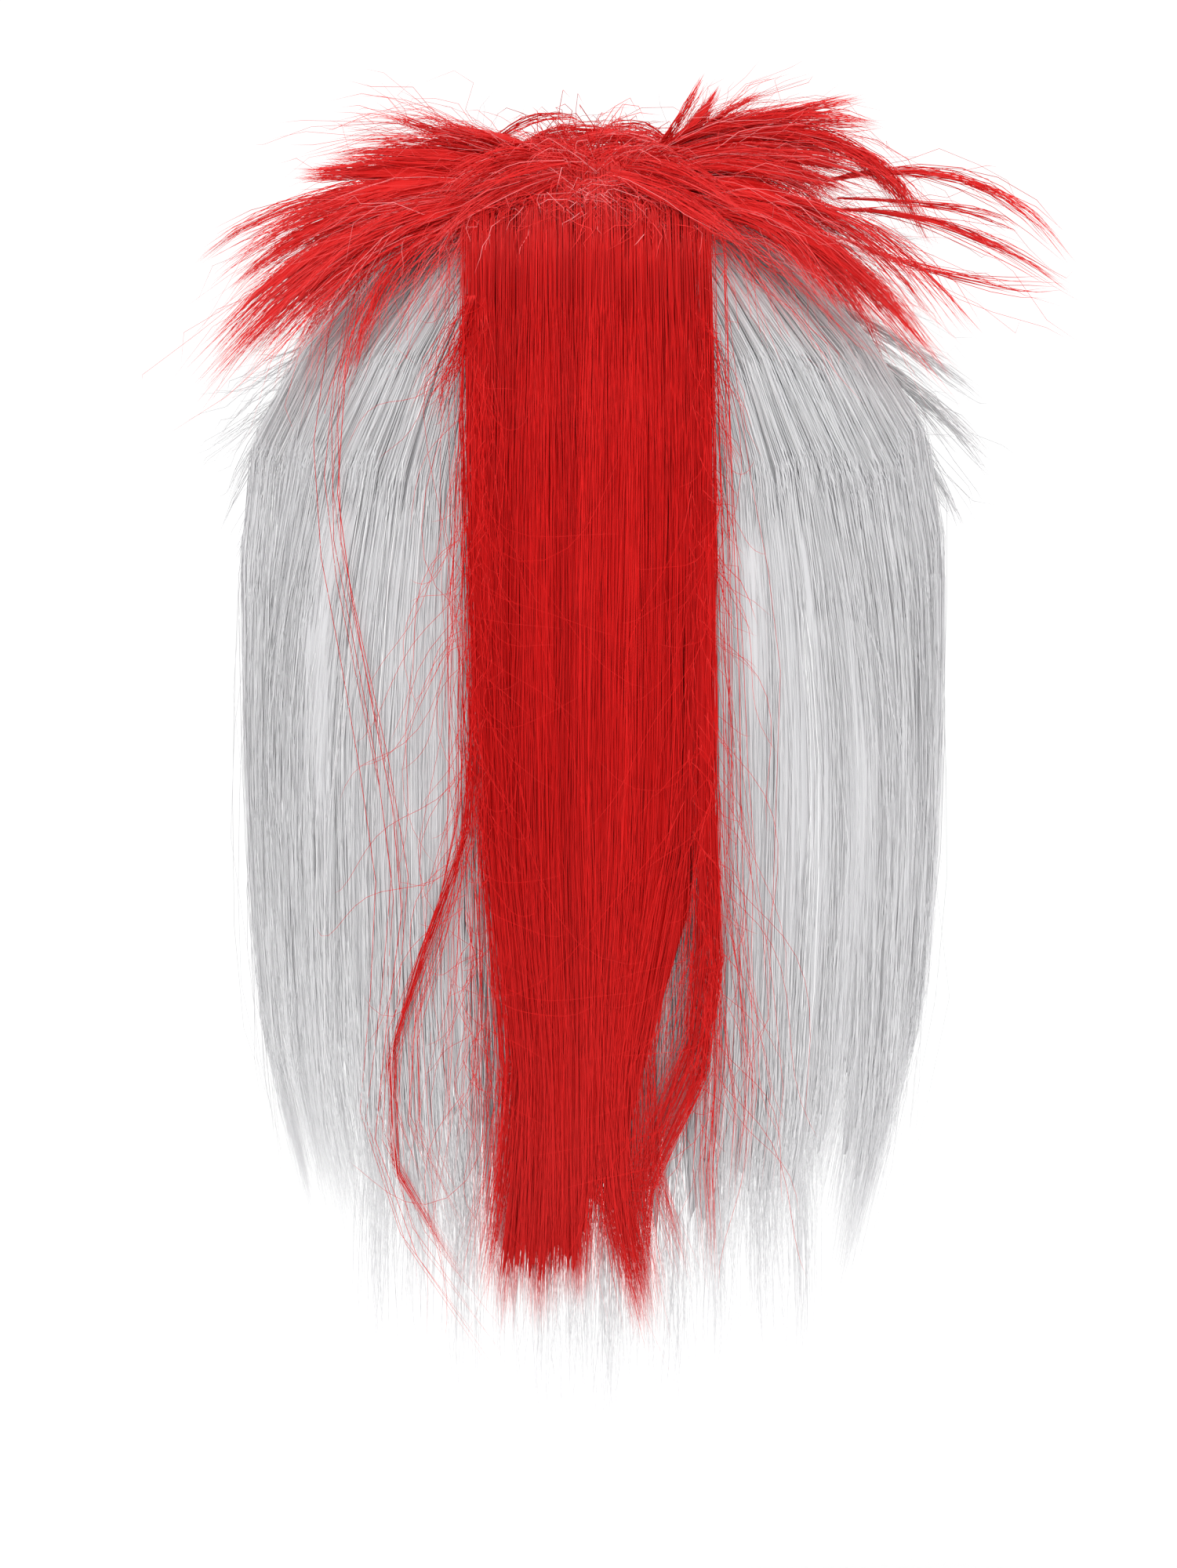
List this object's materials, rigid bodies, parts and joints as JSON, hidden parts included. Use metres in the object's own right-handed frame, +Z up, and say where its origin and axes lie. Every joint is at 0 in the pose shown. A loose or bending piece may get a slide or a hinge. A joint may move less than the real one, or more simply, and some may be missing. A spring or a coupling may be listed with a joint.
{
  "type": "mullet wig",
  "caption": "Mullet wig of long-pile faux fur on a cloth cap: short spiky red hair on top, a long red stripe down the back and long white hair at the sides and nape.",
  "frame": {"origin": "where the crown of the head touches the inside of the cap", "axes": "+Z up as worn, the face looks along -Y, the wearer's left is +X"},
  "size_m": [0.2331, 0.2321, 0.3501],
  "materials": {
    "cap_cloth": "matt knitted backing cloth",
    "red_hair": "long straight faux fur with a soft satin shine",
    "white_hair": "long straight faux fur with a soft satin shine"
  },
  "bodies": {
    "root": {"cap": "cap_cloth", "red_crown_left": "red_hair", "red_crown_right": "red_hair", "red_fringe": "red_hair", "red_tail": "red_hair", "white_front_left": "white_hair", "white_front_right": "white_hair", "white_side_left": "white_hair", "white_side_right": "white_hair", "white_curtain_left": "white_hair", "white_curtain_right": "white_hair", "white_nape": "white_hair"}
  },
  "joints": []
}
